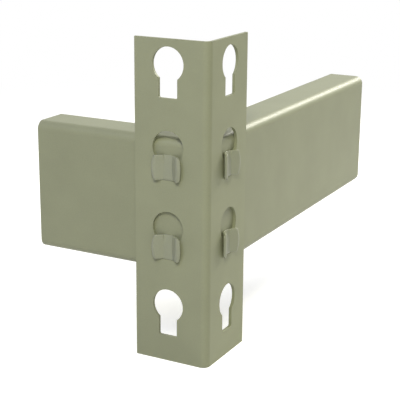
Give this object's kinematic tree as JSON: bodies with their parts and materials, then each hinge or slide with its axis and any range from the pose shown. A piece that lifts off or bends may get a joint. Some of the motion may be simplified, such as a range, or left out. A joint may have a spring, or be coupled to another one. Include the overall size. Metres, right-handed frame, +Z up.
{
  "type": "pallet rack beam corner joint",
  "caption": "Corner of a boltless rack: a keyholed angle post with a channel beam hooked behind each leg by pressed butterfly hooks that open over the post's face.",
  "frame": {"origin": "where the planes of the post's two outer faces meet the foot of the post", "axes": "+Z up the post; the left leg and left beam run along -X with their outer faces towards -Y; the right leg and right beam run along +Y with their outer faces towards +X"},
  "size_m": [0.0965, 0.2015, 0.1538],
  "materials": {
    "paint": "semi-gloss grey-green powder coat"
  },
  "bodies": {
    "root": {"post": "paint", "left_beam": "paint", "right_beam": "paint", "left_hook_upper": "paint", "left_hook_lower": "paint", "right_hook_upper": "paint", "right_hook_lower": "paint"}
  },
  "joints": []
}
